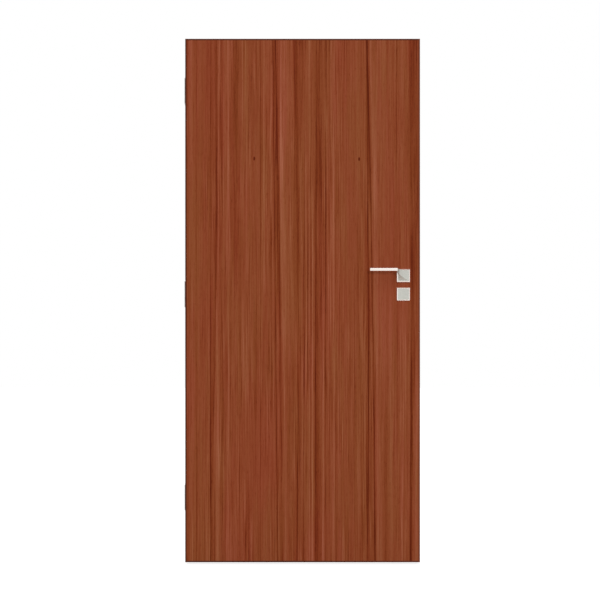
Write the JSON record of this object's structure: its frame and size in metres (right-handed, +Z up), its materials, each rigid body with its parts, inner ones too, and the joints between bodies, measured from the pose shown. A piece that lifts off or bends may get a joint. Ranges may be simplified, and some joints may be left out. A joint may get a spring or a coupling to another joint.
{
  "type": "partition door",
  "caption": "Flush veneered partition door leaf with solid lippings, butt hinges, a mortise lock and straight lever handles on square rosettes; it swings and its levers turn.",
  "frame": {"origin": "middle of the lower hinge's frame plate, on the seat face that is screwed to the jamb", "axes": "+Z up, +X from the hinge edge to the lock edge, -Y towards the push side seen in the picture"},
  "size_m": [0.9215, 0.156, 2.04],
  "materials": {
    "veneer": "satin lacquered reddish-brown veneer with upright grain",
    "lipping": "satin lacquered darker solid hardwood",
    "softwood": "planed softwood",
    "chipboard": "raw extruded chipboard",
    "nickel": "satin nickel",
    "steel": "brushed steel"
  },
  "bodies": {
    "hinge_side": {"lower_hinge_frame_plate": "steel", "lower_hinge_pin": "steel", "middle_hinge_frame_plate": "steel", "middle_hinge_pin": "steel", "upper_hinge_frame_plate": "steel", "upper_hinge_pin": "steel"},
    "leaf": {"front_skin": "veneer", "back_skin": "veneer", "hinge_stile": "softwood", "lock_stile": "softwood", "top_rail": "softwood", "bottom_rail": "softwood", "lock_block": "softwood", "core": "chipboard", "hinge_edge_lipping": "lipping", "lock_edge_lipping": "lipping", "top_edge_lipping": "lipping", "bottom_edge_lipping": "lipping", "lock_case": "steel", "lock_faceplate": "steel", "latch_bolt": "steel", "dead_bolt": "steel", "front_rosette": "nickel", "back_rosette": "nickel", "front_escutcheon": "nickel", "back_escutcheon": "nickel", "lower_hinge_door_plate": "steel", "middle_hinge_door_plate": "steel", "upper_hinge_door_plate": "steel"},
    "lever_set": {"front_lever": "nickel", "back_lever": "nickel", "spindle": "steel", "lock_follower": "steel"}
  },
  "joints": [
    {"name": "door_swing", "type": "hinge", "parent": "hinge_side", "child": "leaf", "pos_m": [0.003, 0.026, 0], "axis": [0, 0, 1], "range_deg": [0, 110]},
    {"name": "lever_turn", "type": "hinge", "parent": "leaf", "child": "lever_set", "pos_m": [0.854, 0, 0.867], "axis": [0, -1, 0], "range_deg": [0, 40], "stiffness_Nm_per_rad": 1, "springref_deg": -34.38}
  ]
}
